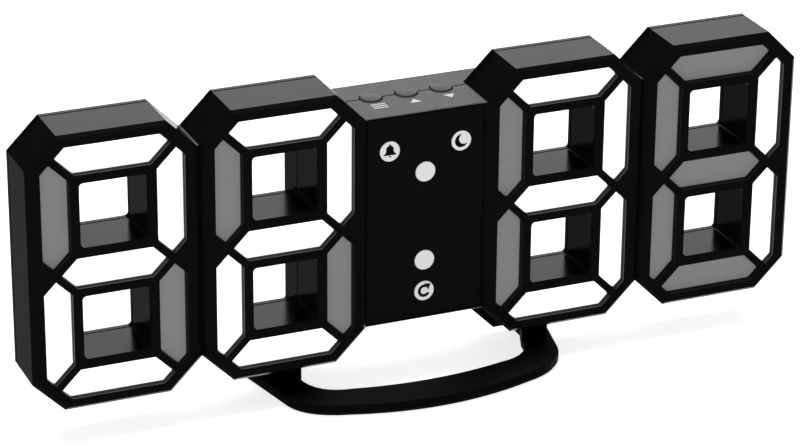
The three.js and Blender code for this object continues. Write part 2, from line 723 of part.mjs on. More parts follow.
function buttonBoard() {
  const half = BUTTON_BOARD_WIDTH / 2;
  const front = boardBack + GAP;
  return block([-half, front, boardBottom], [half, front + BUTTON_BOARD_DEPTH, boardTop]);
}

// A case screw about its own axis, with y = 0 under its head
function caseScrew() {
  const radius = SCREW_HEAD / 2;
  const head = bar("y", [0, 0], radius, 0, SCREW_HEAD_THICKNESS);
  const slot = block(
    [-radius - GAP, SCREW_HEAD_THICKNESS - SLOT_DEPTH, -SCREW_SLOT / 2],
    [radius + GAP, SCREW_HEAD_THICKNESS + GAP, SCREW_SLOT / 2]);
  return joined([cut(head, [slot]), bar("y", [0, 0], SCREW_DIAMETER / 2, -SCREW_LENGTH, SNUG)]);
}

function cellClip() {
  const inner = cellRadius + SNUG;
  const cup = bar("y", [0, cellZ], inner + CLIP_WALL, cellFront - SNUG - CLIP_FLOOR, ledgeFront);
  return cut(cup, [bar("y", [0, cellZ], inner, cellFront - SNUG, caseDepth)]);
}

// Sliding cover with a tongue down each side and ridges for the thumb
function batteryDoor() {
  const plate = block([-doorHalf, doorFront, doorBottom + SNUG], [doorHalf, caseDepth, doorTop]);
  const reach = doorHalf + TONGUE_WIDTH;
  const tongues = block([-reach, doorFront, doorBottom + SNUG], [reach, doorFront + TONGUE_THICKNESS, doorTop]);
  const half = GRIP_WIDTH / 2;
  const grips = Array.from({ length: GRIP_RIDGES }, (_, i) => {
    const z = doorBottom + GRIP_RISE + i * GRIP_PITCH;
    return block([-half, caseDepth - GRIP_DEPTH, z], [half, caseDepth + OVERRUN, z + GRIP_RIDGE]);
  });
  return cut(joined([plate, tongues]), grips);
}

function powerSocket() {
  const outline = (shrink) => rounded(
    REAR_PART_X, REAR_PART_Z, SOCKET_WIDTH / 2 - shrink, SOCKET_HEIGHT / 2 - shrink,
    SOCKET_HEIGHT / 2 - shrink - SNUG / 2);
  const back = caseDepth - SNUG;
  const shell = cut(slab(outline(0), socketFront, back), [
    slab(outline(SOCKET_SHELL), socketFront + SOCKET_FLOOR, back + OVERRUN)]);
  const half = SOCKET_WIDTH / 2 - SOCKET_SHELL * 3;
  const tongue = block(
    [REAR_PART_X - half, socketFront + SOCKET_FLOOR / 2, REAR_PART_Z - SOCKET_TONGUE / 2],
    [REAR_PART_X + half, back - SOCKET_FLOOR, REAR_PART_Z + SOCKET_TONGUE / 2]);
  return joined([shell, tongue]);
}

function buzzer() {
  return bar("y", [-REAR_PART_X, REAR_PART_Z], buzzerRadius, buzzerFront, buzzerFront + BUZZER_HEIGHT);
}

// The right-hand half of one edge of the stand: half its bowed front, and the turn into the arm
function standEdge(edge) {
  const points = [];
  for (let i = 0; i <= BOW_STEPS; i += 1) {
    const share = i / BOW_STEPS;
    points.push([edge.bowHalf * share, edge.front + edge.bow * share * share]);
  }
  const turn = new THREE.QuadraticBezierCurve(
    new THREE.Vector2(...points[BOW_STEPS]), new THREE.Vector2(...edge.turn), new THREE.Vector2(...edge.arm));
  turn.getPoints(TURN_STEPS).slice(1).forEach((point) => points.push([point.x, point.y]));
  return points;
}

// The edge moved sideways: outwards where the distance is above zero
function edgeMoved(points, distance) {
  return points.map(([x, y], i) => {
    const before = points[Math.max(i - 1, 0)];
    const after = points[Math.min(i + 1, points.length - 1)];
    const length = Math.hypot(after[0] - before[0], after[1] - before[1]);
    const [alongX, alongY] = [(after[0] - before[0]) / length, (after[1] - before[1]) / length];
    return [i ? x + alongY * distance : 0, y - (i ? alongX : 1) * distance];
  });
}

// The band between two edges of the stand, both drawn on their right-hand half
function band(outer, inner) {
  const whole = (points) => [...mirrored(points, -1, 1).reverse(), ...points.slice(1)];
  return [...whole(outer), ...whole(inner).reverse()];
}

function innerRun() {
  return [...standEdge(INNER_EDGE), [heelInner, NUMERAL_DEPTH - GAP * 2], [heelInner, heelY]];
}

// Plan of the stand, narrowed by an inset
function standPlan(inset) {
  const outer = edgeMoved([...standEdge(OUTER_EDGE), [heelHalf, heelY]], -inset);
  return band(outer, edgeMoved(innerRun(), inset));
}

// Side view of what stands on the strip: a post that ends in the knuckle of the hinge
function posts() {
  const top = -heightHalf - POST_GAP;
  return joined([
    block([-wide, POST_FRONT, tableZ], [wide, hingeY, top]),
    block([-wide, hingeY - GAP, tableZ], [wide, heelY, hingeZ]),
    bar("x", [hingeY, hingeZ], KNUCKLE_RADIUS, -wide, wide),
  ]);
}

// An upright web along the inner side of each arm, in front of its post
function webs() {
  const top = -heightHalf - POST_GAP;
  const upright = plan(band(edgeMoved(innerRun(), WEB_THICKNESS), innerRun()), stripBottom, top);
  return upright.intersect(block([-wide, WEB_FRONT, tableZ], [wide, hingeY, top]));
}

function heelCutter() {
  return across([
    [heelY + HEEL_CHAMFER, tableZ - HEEL_CHAMFER], [heelY + HEEL_CHAMFER, tableZ + HEEL_CHAMFER * 2],
    [heelY - HEEL_CHAMFER * 2, tableZ - HEEL_CHAMFER],
  ]);
}

function stand() {
  const axis = [hingeY, hingeZ];
  const strip = plan(standPlan(0), stripBottom, stripBottom + STRIP_THICKNESS);
  const arms = plan(standPlan(0), stripBottom, -heightHalf + OVERRUN).intersect(posts());
  const seat = EAR_OUTER + HINGE_SPAN;
  return cut(joined([strip, arms, webs()]), [
    bar("x", axis, PIN_DIAMETER / 2 + GAP, -wide, wide), heelCutter(),
    bar("x", axis, PIN_HEAD / 2 + GAP, seat, wide), bar("x", axis, PIN_HEAD / 2 + GAP, -wide, -seat),
  ]);
}

function standSole() {
  const sole = plan(standPlan(SOLE_INSET), tableZ, stripBottom);
  return cut(sole, [heelCutter()]);
}

// A hinge pin about its own axis, with x measured from the middle of the case
function hingePin() {
  const seat = EAR_OUTER + HINGE_SPAN + SNUG / 2;
  return joined([
    bar("x", [0, 0], PIN_DIAMETER / 2, EAR_OUTER - PIN_REACH, seat + GAP),
    bar("x", [0, 0], PIN_HEAD / 2, seat, seat + PIN_HEAD_THICKNESS),
  ]);
}

// Materials, coloured from the photo where it shows the piece
function material(color, roughness, metalness = 0) {
  return () => new THREE.MeshStandardMaterial({ color, roughness, metalness });
}

const caseBlack = material(0x0e0e0f, 0.38);
const panelBlack = material(0x121213, 0.3);
const litWhite = material(0xfefefe, 0.4);
const unlitGrey = material(0x7f7f7f, 0.45);
const badgeWhite = material(0xe0e0e0, 0.45);
const buttonBlack = material(0x161617, 0.42);
const rubberBlack = material(0x1b1b1b, 0.85);
const baffleWhite = material(0xf0f0ee, 0.6);
const boardGreen = material(0x1d5a36, 0.5);
const steel = material(0xb8babd, 0.3, 0.9);
const switchBlack = material(0x202022, 0.5);

// Bars that are off in the photo, for each numeral from left to right
const UNLIT = ["fc", "fc", "fe", "afged"];

const clock = new THREE.Group();
clock.name = "digital_clock";
clock.position.set(0, -(caseDepth + OUTER_EDGE.front) / 2, -tableZ);

function group(name) {
  const made = new THREE.Group();
  made.name = name;
  clock.add(made);
  return made;
}

function piece(parent, name, geometry, looks, place = [0, 0, 0]) {
  const mesh = new THREE.Mesh(geometry, looks());
  mesh.name = name;
  mesh.position.set(...place);
  parent.add(mesh);
  return mesh;
}

const shells = group("shells");
piece(shells, "front_shell", geometryOf(frontShell()), caseBlack);
piece(shells, "rear_shell", geometryOf(rearShell()), caseBlack);
piece(shells, "centre_panel", geometryOf(centrePanel()), panelBlack);

const display = group("display");
for (const letter of "abcdefg") {
  const geometry = geometryOf(barLens(letter));
  numeralPlaces.forEach((x, i) => {
    const looks = UNLIT[i].includes(letter) ? unlitGrey : litWhite;
    piece(display, `bar_${i + 1}${letter}`, geometry, looks, [x, 0, 0]);
  });
}

const badgeGeometry = geometryOf(badge());
["bell_badge", "moon_badge", "upper_dot", "lower_dot", "ring_badge"].forEach((name, i) => {
  piece(display, name, badgeGeometry, badgeWhite, [lightPlaces[i][0], 0, lightPlaces[i][1]]);
});
piece(display, "light_baffle", geometryOf(lightBaffle()), baffleWhite);
piece(display, "circuit_board", geometryOf(circuitBoard()), boardGreen);

const controls = group("controls");
const buttonGeometry = geometryOf(button());
const switchGeometry = geometryOf(buttonSwitch());
["button_menu", "button_up", "button_down"].forEach((name, i) => {
  piece(controls, name, buttonGeometry, buttonBlack, [buttonPlaces[i], buttonY, 0]);
  piece(controls, `switch_${i + 1}`, switchGeometry, switchBlack, [buttonPlaces[i], buttonY, boardTop]);
});
piece(controls, "button_board", geometryOf(buttonBoard()), boardGreen);

const power = group("power");
piece(power, "coin_cell", geometryOf(bar("y", [0, cellZ], cellRadius, cellFront, cellBack)), steel);
piece(power, "cell_clip", geometryOf(cellClip()), baffleWhite);
piece(power, "battery_door", geometryOf(batteryDoor()), caseBlack);
piece(power, "power_socket", geometryOf(powerSocket()), steel);
piece(power, "buzzer", geometryOf(buzzer()), switchBlack);

const fixings = group("fixings");
const screwGeometry = geometryOf(caseScrew());
[...outerScrews, ...centreScrews].forEach(([x, z], i) => {
  piece(fixings, `case_screw_${i + 1}`, screwGeometry, steel, [x, seatY, z]);
});

// The stand, and the pins that it turns on
const support = group("support");
piece(support, "stand", geometryOf(stand()), caseBlack);
piece(support, "stand_sole", geometryOf(standSole()), rubberBlack);
const pinGeometry = geometryOf(hingePin());
piece(support, "hinge_pin_right", pinGeometry, steel, [0, hingeY, hingeZ]);
const leftPin = piece(support, "hinge_pin_left", pinGeometry, steel, [0, hingeY, hingeZ]);
leftPin.rotation.z = Math.PI;

export default clock;
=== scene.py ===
# %% [markdown]
# # A desk clock of open numerals
# The clock is one satin black moulding, cut away between its lit bars, that stands on a folding
# foot. Nearly everything that shows is injection-moulded ABS, so the picture depends on three
# things: crisp edges that are a little rounded, a surface that is dark but not dead, and light
# that comes from behind and above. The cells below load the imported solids, round their edges,
# add the few pieces that are better as smooth surfaces, and then give each plastic its finish.

# %% Load the frame
import json

import bpy
import numpy as np
from mathutils import Matrix, Vector


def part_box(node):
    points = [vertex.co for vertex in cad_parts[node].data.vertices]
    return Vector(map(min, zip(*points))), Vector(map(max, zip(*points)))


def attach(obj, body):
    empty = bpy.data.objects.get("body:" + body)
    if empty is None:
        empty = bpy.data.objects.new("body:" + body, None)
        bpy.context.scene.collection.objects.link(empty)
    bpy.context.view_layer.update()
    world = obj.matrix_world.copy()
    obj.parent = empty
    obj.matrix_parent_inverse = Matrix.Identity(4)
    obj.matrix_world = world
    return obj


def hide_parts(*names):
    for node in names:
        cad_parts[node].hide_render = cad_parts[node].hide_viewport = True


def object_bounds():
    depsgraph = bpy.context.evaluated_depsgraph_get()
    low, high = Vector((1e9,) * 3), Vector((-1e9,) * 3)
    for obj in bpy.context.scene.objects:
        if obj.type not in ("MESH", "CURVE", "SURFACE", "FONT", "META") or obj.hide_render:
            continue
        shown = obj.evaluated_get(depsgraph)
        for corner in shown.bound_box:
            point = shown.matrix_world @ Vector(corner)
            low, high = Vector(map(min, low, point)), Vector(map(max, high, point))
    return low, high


MM = 0.001
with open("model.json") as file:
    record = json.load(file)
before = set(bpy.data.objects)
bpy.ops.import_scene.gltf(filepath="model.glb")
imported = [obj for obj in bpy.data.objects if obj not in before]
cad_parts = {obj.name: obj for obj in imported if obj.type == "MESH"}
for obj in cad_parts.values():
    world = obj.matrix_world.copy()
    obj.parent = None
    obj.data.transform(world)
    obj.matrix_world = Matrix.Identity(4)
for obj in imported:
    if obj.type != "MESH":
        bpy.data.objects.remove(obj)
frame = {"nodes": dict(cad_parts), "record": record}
nodes = frame["nodes"]
cad_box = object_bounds()
print("solids loaded:", len(nodes))

# %% [markdown]
# The solids are drawn in the clock's own place: x from the middle of the clock, y from the front
# faces of the numerals and z from their middle height. Two corners of the front shell give that
# place in the frame, so every later point can be written in plain millimetres.

# %% Where the case lies in the frame
shell_low, shell_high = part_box("front_shell")
FRONT = shell_low.y
MIDDLE = (shell_low.z + shell_high.z) / 2
FLOOR = cad_box[0].z
numeral_height = (shell_high.z - shell_low.z) / MM


def placed(points):
    """Case millimetres to frame metres: scaled, then moved to the front face and the middle."""
    return np.asarray(points, float) * MM + np.array([0.0, FRONT, MIDDLE])


def centre_of(node):
    """Middle of a solid's box, in case millimetres."""
    low, high = (np.array(corner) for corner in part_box(node))
    return ((low + high) / 2 - np.array([0.0, FRONT, MIDDLE])) / MM


print("numeral height %.1f mm" % numeral_height)

# %% [markdown]
# A new piece is a mesh made from whole arrays of points and faces. Its place is in the mesh, so
# the object itself stays at the origin, and it rides on the body that carries it, which is how
# it follows a joint.

# %% A mesh from arrays
def mesh_object(name, points, faces, body, smooth=False):
    """An object at the origin whose place is in its mesh, riding on a body of the frame."""
    mesh = bpy.data.meshes.new(name)
    mesh.from_pydata(placed(points).tolist(), [], [list(map(int, face)) for face in faces])
    mesh.polygons.foreach_set("use_smooth", np.full(len(mesh.polygons), smooth))
    mesh.update()
    made = bpy.data.objects.new(name, mesh)
    bpy.context.scene.collection.objects.link(made)
    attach(made, body)
    return made


print("front face at y = %.4f m, middle at z = %.4f m" % (FRONT, MIDDLE))

# %% [markdown]
# A turned surface is a grid of rings and steps. Its quads are counted out with index arithmetic,
# so no loop runs over the points: point k of ring n has the number n * steps + k, and the last
# step of a ring joins the first by taking the remainder.

# %% A turned surface
def turned_surface(profile, centre, steps):
    """A profile of (radius, height) swung round a vertical axis: x = r cos a, y = r sin a, z = h.
    The first and last points lie on the axis, and each closes with a fan of triangles."""
    radius, height = np.asarray(profile, float).T
    rings = len(radius) - 2
    angle = np.linspace(0, 2 * np.pi, steps, endpoint=False)
    x = centre[0] + np.outer(radius[1:-1], np.cos(angle))
    y = centre[1] + np.outer(radius[1:-1], np.sin(angle))
    z = np.repeat(height[1:-1, None], steps, 1)
    points = np.stack([x, y, z], -1).reshape(-1, 3)
    poles = [[centre[0], centre[1], height[0]], [centre[0], centre[1], height[-1]]]
    ring, step = np.meshgrid(np.arange(rings - 1), np.arange(steps), indexing="ij")
    here, after = ring * steps + step, ring * steps + (step + 1) % steps
    quads = np.stack([here, after, after + steps, here + steps], -1).reshape(-1, 4)
    low, top = rings * steps, rings * steps + 1
    k = np.arange(steps)
    foot = np.stack([np.full(steps, low), (k + 1) % steps, k], -1)
    last = (rings - 1) * steps
    cap = np.stack([np.full(steps, top), last + k, last + (k + 1) % steps], -1)
    return np.vstack([points, poles]), [*quads.tolist(), *foot.tolist(), *cap.tolist()]


disc_points, disc_faces = turned_surface([(0, 0), (1, 0), (1, 1), (0, 1)], (0, 0), 8)
print("a disc of 8 steps:", len(disc_points), "points,", len(disc_faces), "faces")

# %% [markdown]
# A printed or moulded sign starts as flat closed outlines. Each outline is one face that Blender
# cuts into triangles itself, and a second copy behind it gives the sign its thickness.

# %% Outlines with a thickness
def printed_loops(loops, lay, inner, outer):
    """Flat outlines given a hair's thickness: each loop is copied at two depths, and the copies
    are joined by a ring of quads. lay(loop, depth) puts an outline into the case's space."""
    points, faces = [], []
    for loop in loops:
        start, count = sum(map(len, points)), len(loop)
        points += [lay(loop, outer), lay(loop, inner)]
        k = np.arange(count)
        after = (k + 1) % count
        faces += [(start + k).tolist(), (start + count + k[::-1]).tolist()]
        faces += (start + np.stack([k, k + count, after + count, after], -1)).tolist()
    return np.vstack(points), faces


def as_plate(loop, depth):
    """Lays an outline flat, with its depth upwards."""
    return np.column_stack([loop, np.full(len(loop), depth)])


UNIT_SQUARE = np.array([(0, 0), (1, 0), (1, 1), (0, 1)])
print("a square plate:", len(printed_loops([UNIT_SQUARE], as_plate, 0, 1)[1]), "faces")

# %% [markdown]
# A moulding never has a knife edge: the steel tool is rounded wherever the cutter left it, and
# that hair of radius is what catches the light along the ribs. A Bevel modifier gives it to the
# solids without touching their meshes. The solids come as loose triangles, so they are first
# welded, and flat areas are dissolved into single faces, or the bevel would find false edges.

# %% Round the edges of the solids
WELD_REACH, FLAT_WITHIN = 0.002, 0.4
SHELL_EDGE, PANEL_EDGE, LENS_EDGE = 0.28, 0.15, 0.2


def rounded_edges(node, radius, segments=2, angle=35):
    """Weld, dissolve flat areas, then bevel every edge sharper than the angle."""
    piece = nodes[node]
    weld = piece.modifiers.new("weld", "WELD")
    weld.merge_threshold = WELD_REACH * MM
    flat = piece.modifiers.new("flat areas", "DECIMATE")
    flat.decimate_type = "DISSOLVE"
    flat.angle_limit = np.radians(FLAT_WITHIN)
    soft = piece.modifiers.new("soft edges", "BEVEL")
    soft.width = radius * MM
    soft.segments = segments
    soft.limit_method = "ANGLE"
    soft.angle_limit = np.radians(angle)
    soft.harden_normals = True
    soft.use_clamp_overlap = True


EDGES = {"front_shell": SHELL_EDGE, "rear_shell": SHELL_EDGE, "stand": SHELL_EDGE,
         "battery_door": SHELL_EDGE, "centre_panel": PANEL_EDGE, "stand_sole": PANEL_EDGE}
EDGES |= {name: LENS_EDGE for name in sorted(nodes) if name.startswith("bar_")}
for node, radius in EDGES.items():
    rounded_edges(node, radius)
print("solids with rounded edges:", len(EDGES))

# %% [markdown]
# The push buttons are turned shapes, so a profile swung round its axis is the natural surface.
# The crown is a shallow parabola and the rim a quarter circle, and the flange and stem follow
# the solid that this piece stands for, so that it still lies under the case's top wall.

# %% Push buttons
CAP_RADIUS, RIM_RADIUS, CROWN, CAP_PROUD = 3.4, 0.45, 0.25, 0.8
STEM_RADIUS, STEM_BELOW_FLANGE, FLANGE_OVERHANG, FLANGE_THICKNESS = 1.2, 0.4, 0.8, 0.9
ROUND_STEPS, RIM_STEPS, CROWN_STEPS, CREASE_ANGLE = 64, 7, 9, 50


def button_profile(low, flange_low, top):
    """Stem, flange, straight side, quarter-circle rim, then h = top - crown * (r / R)^2."""
    flange, flange_high = CAP_RADIUS + FLANGE_OVERHANG, flange_low + FLANGE_THICKNESS
    turn = np.linspace(0, np.pi / 2, RIM_STEPS)
    edge = CAP_RADIUS - RIM_RADIUS
    rim_height = top - CROWN - RIM_RADIUS * (1 - np.sin(turn))
    rim = np.stack([edge + RIM_RADIUS * np.cos(turn), rim_height], 1)
    r = np.linspace(edge, 0, CROWN_STEPS)[1:]
    crown = np.stack([r, top - CROWN * (r / edge) ** 2], 1)
    foot = [(0, low), (STEM_RADIUS, low), (STEM_RADIUS, flange_low),
            (flange, flange_low), (flange, flange_high), (CAP_RADIUS, flange_high)]
    return np.vstack([foot, rim, crown])


BUTTONS = {"button_menu": "menu_button", "button_up": "up_button", "button_down": "down_button"}
buttons = []
for node, body in BUTTONS.items():
    low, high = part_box(node)
    bottom, top = (low.z - MIDDLE) / MM, (high.z - MIDDLE) / MM
    profile = button_profile(bottom, bottom + STEM_BELOW_FLANGE, top)
    points, faces = turned_surface(profile, centre_of(node)[:2], ROUND_STEPS)
    cap = mesh_object(node + "_cap", points, faces, body, smooth=True)
    crease = cap.modifiers.new("keep corners", "EDGE_SPLIT")
    crease.split_angle = np.radians(CREASE_ANGLE)
    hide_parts(node)
    buttons.append(cap)
BOX_TOP = top - CAP_PROUD
print("top of the centre box: %.2f mm above the middle" % BOX_TOP)

# %% [markdown]
# The signs on the badges and beside the buttons are pad-printed: a film of ink a few hundredths
# of a millimetre thick. Each is an outline given that thickness, so it has an edge of its own.
# They are plain signs that any clock could carry. On the badges these are a bell for the alarm, a
# moon for the evening half of the day, and a turning arrow for the repeat. All signs are drawn
# about one unit either way from the middle, and scaled to millimetres later.

# %% Signs of the badges
def arc(centre, radius, start, end, count=20):
    """Points of an arc, with its angles in degrees."""
    angle = np.radians(np.linspace(start, end, count))
    return np.stack([centre[0] + radius * np.cos(angle), centre[1] + radius * np.sin(angle)], 1)


def bell_sign(size):
    """A dome on flared sides, h from the lip up, with a clapper under it."""
    s = np.linspace(0, 1, 9)
    side = np.stack([0.55 + 0.33 * (1 - s) ** 3, -0.42 + 0.72 * s], 1)
    dome = arc((0, 0.3), 0.55, 8, 172)
    body = np.vstack([[(0.95, -0.55)], side, dome, side[::-1] * [-1, 1], [(-0.95, -0.55)]])
    clapper, knob = arc((0, -0.66), 0.2, 180, 360, 10), arc((0, 0.93), 0.12, 0, 345, 12)
    return [body * size, clapper * size, knob * size]


def moon_sign(size):
    """One circle with a smaller, shifted circle taken out of it."""
    big, small, away = 1.0, 0.8, 0.52
    along = (away ** 2 + big ** 2 - small ** 2) / (2 * away)
    across = np.sqrt(big ** 2 - along ** 2)
    lean = 30
    a = np.degrees(np.arctan2(across, along))
    b = np.degrees(np.arctan2(across, along - away))
    outer = arc((0, 0), big, lean + a, lean + 360 - a, 40)
    shift = away * np.array([np.cos(np.radians(lean)), np.sin(np.radians(lean))])
    inner = arc(shift, small, lean + 360 - b, lean + b, 30)
    return [np.vstack([outer, inner[1:-1]]) * size]


def repeat_sign(size):
    """Most of a ring, and an arrow head at its upper end."""
    ring = np.vstack([arc((0, 0), 0.98, 62, 330, 40), arc((0, 0), 0.54, 330, 62, 40)])
    head = np.array([(0.02, 1.16), (1.02, 0.98), (0.64, 0.06)])
    return [ring * size, head[::-1] * size]


BADGE_SIGNS = {
    "bell_badge": bell_sign(2.2), "moon_badge": moon_sign(2.1), "ring_badge": repeat_sign(2.1),
}
print("outlines in each badge's sign:", [len(loops) for loops in BADGE_SIGNS.values()])

# %% [markdown]
# Beside the buttons are three bars for the menu and two triangles for up and down. At the back
# are an arrow that shows the way the battery cover slides off, and the bolt of a supply socket.

# %% Signs of the buttons and the back
def menu_sign(size):
    """Three bars, one above the other."""
    bar = np.array([(-1, -0.14), (1, -0.14), (1, 0.14), (-1, 0.14)])
    return [(bar + [0, h]) * size for h in (-0.62, 0, 0.62)]


def triangle_sign(size, up):
    """Points up where up is 1, and down where it is -1, with its corners in the same turn."""
    return [np.array([(-0.9, -0.6 * up), (0.9, -0.6 * up), (0, 0.8 * up)])[::up] * size]


def arrow_sign(size):
    """Points down, the way the battery cover slides off."""
    shaft = np.array([(-0.28, -0.1), (0.28, -0.1), (0.28, 1.1), (-0.28, 1.1)])
    head = np.array([(0, -1.1), (0.85, -0.1), (-0.85, -0.1)])
    return [shaft * size, head * size]


def bolt_sign(size):
    """The zigzag of a supply socket."""
    left = [(0.25, 1.1), (-0.6, -0.1), (-0.05, -0.1)]
    right = [(-0.25, -1.1), (0.6, 0.15), (0.05, 0.15)]
    return [np.array(left + right) * size]


LABELS = {
    "button_menu": menu_sign(2.3), "button_up": triangle_sign(2.0, 1),
    "button_down": triangle_sign(2.0, -1),
}
print("signs beside the buttons:", len(LABELS))

# %% [markdown]
# A sign on the front is drawn in x and z, one on top in x and y, and one at the back in x and z
# again, but mirrored, so that it reads from behind. Each way is a function that turns an outline
# and a depth into points of the case.

# %% Ways to lay a sign
def on_front(middle, face):
    """Lays an outline in x and z, the depth counted out of the face towards the reader."""
    def lay(loop, depth):
        x, z = middle[0] + loop[:, 0], middle[1] + loop[:, 1]
        return np.stack([x, np.full(len(loop), face - depth), z], 1)
    return lay


def on_top(middle, face):
    """Lays an outline in x and y, the depth counted upwards."""
    def lay(loop, depth):
        x, y = middle[0] + loop[:, 0], middle[1] + loop[:, 1]
        return np.stack([x, y, np.full(len(loop), face + depth)], 1)
    return lay


def on_back(middle, face):
    """Lays an outline in x and z as seen from behind, the depth counted out of the back."""
    def lay(loop, depth):
        x, z = middle[0] - loop[:, 0], middle[1] + loop[:, 1]
        return np.stack([x, np.full(len(loop), face + depth), z], 1)
    return lay


print("a unit square laid on the back:", on_back((0, 0), 0)(UNIT_SQUARE, 0).tolist())

# %% [markdown]
# The film of ink stands 0.03 mm proud of the plastic and starts 0.02 mm inside it, so that no
# light leaks under it. The signs of the badges are black on their pale lens, and those beside
# the buttons are white on the dark case.

# %% Print the signs
INK, SUNK = 0.03, 0.02


def printed(name, loops, lay):
    """Signs of ink that ride on the case."""
    points, faces = printed_loops(loops, lay, -SUNK, INK)
    return mesh_object(name, points, faces, "case")


signs = []
for node, loops in BADGE_SIGNS.items():
    x, _, z = centre_of(node)
    face = (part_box(node)[0].y - FRONT) / MM
    signs.append(printed(node + "_sign", loops, on_front((x, z), face)))

LABEL_Y = 9.8
labels = []
for node, loops in LABELS.items():
    x = centre_of(node)[0]
    labels.append(printed(node + "_label", loops, on_top((x, LABEL_Y), BOX_TOP)))
print("signs printed:", len(signs) + len(labels))

# %% [markdown]
# The back has two signs. The arrow on the battery cover is moulded, so it stands proud by a
# quarter of a millimetre and slides down with the cover. The bolt above the socket is ink.

# %% Signs of the back
RAISED, ARROW_SIZE, ARROW_RISE = 0.25, 2.4, 7.0
BOLT_SIZE, BOLT_RISE = 1.8, 5.5
BACK_FACE = (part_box("battery_door")[1].y - FRONT) / MM
cover_x, _, cover_z = centre_of("battery_door")
arrow_place = on_back((cover_x, cover_z + ARROW_RISE), BACK_FACE)
points, faces = printed_loops(arrow_sign(ARROW_SIZE), arrow_place, -SUNK, RAISED)
arrow = mesh_object("cover_arrow", points, faces, "battery_cover")
socket_x, _, socket_z = centre_of("power_socket")
bolt_place = on_back((socket_x, socket_z + BOLT_RISE), BACK_FACE)
labels.append(printed("power_socket_label", bolt_sign(BOLT_SIZE), bolt_place))
print("back face: %.1f mm behind the front" % BACK_FACE)

# %% [markdown]
# Colours are picked in sRGB, as a screen shows them, and a shader wants linear light, so one
# function turns them over. Every pattern is laid out in metres by Object coordinates: the
# objects sit at the origin, so those are the clock's real measures, and a grain of half a
# millimetre is a noise of 2000 cells to the metre.

# %% Colours and nodes
def linear(code):
    """sRGB hex to linear light: c / 12.92 near black, else ((c + 0.055) / 1.055) ^ 2.4."""
    c = np.array([int(code[i:i + 2], 16) for i in (1, 3, 5)]) / 255
    return (*np.where(c <= 0.04045, c / 12.92, ((c + 0.055) / 1.055) ** 2.4).tolist(), 1.0)


def per_metre(millimetres):
    """Scale of a texture whose cells are this many millimetres wide."""
    return 1000 / millimetres


def add(material, kind, settings=(), links=()):
    """One node: settings fill its sockets or its own properties, links bring outputs to sockets."""
    tree = material.node_tree
    made = tree.nodes.new(kind)
    for name, value in dict(settings).items():
        if isinstance(name, int) or name in made.inputs:
            made.inputs[name].default_value = value
        else:
            setattr(made, name, value)
    for name, source in dict(links).items():
        tree.links.new(source, made.inputs[name])
    return made


print("mid grey in linear light: %.3f" % linear("#808080")[0])

# %% [markdown]
# Nearly every surface of the clock is moulded, so one function makes them all. It feeds three
# noises to the shader: a broad one for the colour, a broad one for the polish, and a fine one
# for the grain. Constants such as the index of refraction are set on the shader itself.

# %% A moulded surface
def noise(material, place, width):
    """A cloud between 0 and 1 whose cells are this many millimetres wide."""
    settings = {"Scale": per_metre(width)}
    return add(material, "ShaderNodeTexNoise", settings, {"Vector": place}).outputs["Fac"]


def plastic(name, colour, settings, fleck, gloss, grain):
    """A material with the three things that a moulded surface shows: a slight unevenness of
    colour, patches that are more or less polished, and the fine grain of the mould. All measures
    are in millimetres: fleck is (second colour, width), gloss is (least roughness, most, width)
    and grain is (width, depth)."""
    material = bpy.data.materials.new(name)
    material.use_nodes = True
    shader = material.node_tree.nodes["Principled BSDF"]
    for socket, value in settings.items():
        shader.inputs[socket].default_value = value
    place = add(material, "ShaderNodeTexCoord").outputs["Object"]
    second_colour, fleck_width = fleck
    smoothest, roughest, gloss_width = gloss
    grain_width, grain_depth = grain
    cloud, patch, pits = (
        noise(material, place, width) for width in (fleck_width, gloss_width, grain_width))
    shades = {"data_type": "RGBA", 6: linear(colour), 7: linear(second_colour)}
    shade = add(material, "ShaderNodeMix", shades, {"Factor": cloud})
    polish = add(material, "ShaderNodeMapRange", {"To Min": smoothest, "To Max": roughest},
                 {"Value": patch})
    relief = add(material, "ShaderNodeBump", {"Distance": grain_depth * MM}, {"Height": pits})
    link = material.node_tree.links.new
    link(shade.outputs[2], shader.inputs["Base Color"])
    link(polish.outputs["Result"], shader.inputs["Roughness"])
    link(relief.outputs["Normal"], shader.inputs["Normal"])
    return material


print("a grain 0.6 mm wide is a texture scale of %.0f" % per_metre(0.6))

# %% [markdown]
# The case is black ABS. Its mould was spark-eroded, which leaves a very fine pitted skin: the
# plastic is satin, with soft, slightly broken reflections of the lights. The real grain is
# under 0.1 mm and would vanish between the pixels, so it is drawn 0.6 mm wide.

# %% Black plastics
ABS = {"IOR": 1.54}
case_abs = plastic(
    "abs_black_spark_eroded", "#09090A", ABS,
    fleck=("#0E0E0F", 9), gloss=(0.16, 0.23, 16), grain=(0.6, 0.008))
panel_abs = plastic(
    "abs_black_matt_panel", "#0A0A0B", ABS,
    fleck=("#0D0D0E", 12), gloss=(0.34, 0.42, 14), grain=(0.5, 0.006))
# The buttons are black ABS, coloured mid grey all over as a painted sheen for the light their tops
# catch.
button_abs_painted_sheen = plastic(
    "abs_black_polished_button_painted_sheen", "#5A5A5B", ABS,
    fleck=("#626263", 6), gloss=(0.26, 0.34, 5), grain=(0.5, 0.004))
switch_nylon = plastic(
    "nylon_black_moulded", "#181818", {"IOR": 1.53},
    fleck=("#202020", 3), gloss=(0.45, 0.55, 4), grain=(0.4, 0.006))
sole_rubber = plastic(
    "rubber_black_moulded", "#0B0B0B", {"IOR": 1.52},
    fleck=("#141414", 5), gloss=(0.65, 0.8, 6), grain=(0.5, 0.015))
stand_abs = plastic(
    "abs_black_coarse_stand", "#060607", ABS | {"Specular IOR Level": 0.2},
    fleck=("#0A0A0B", 8), gloss=(0.6, 0.7, 10), grain=(0.6, 0.01))
print("black plastics made: 6")
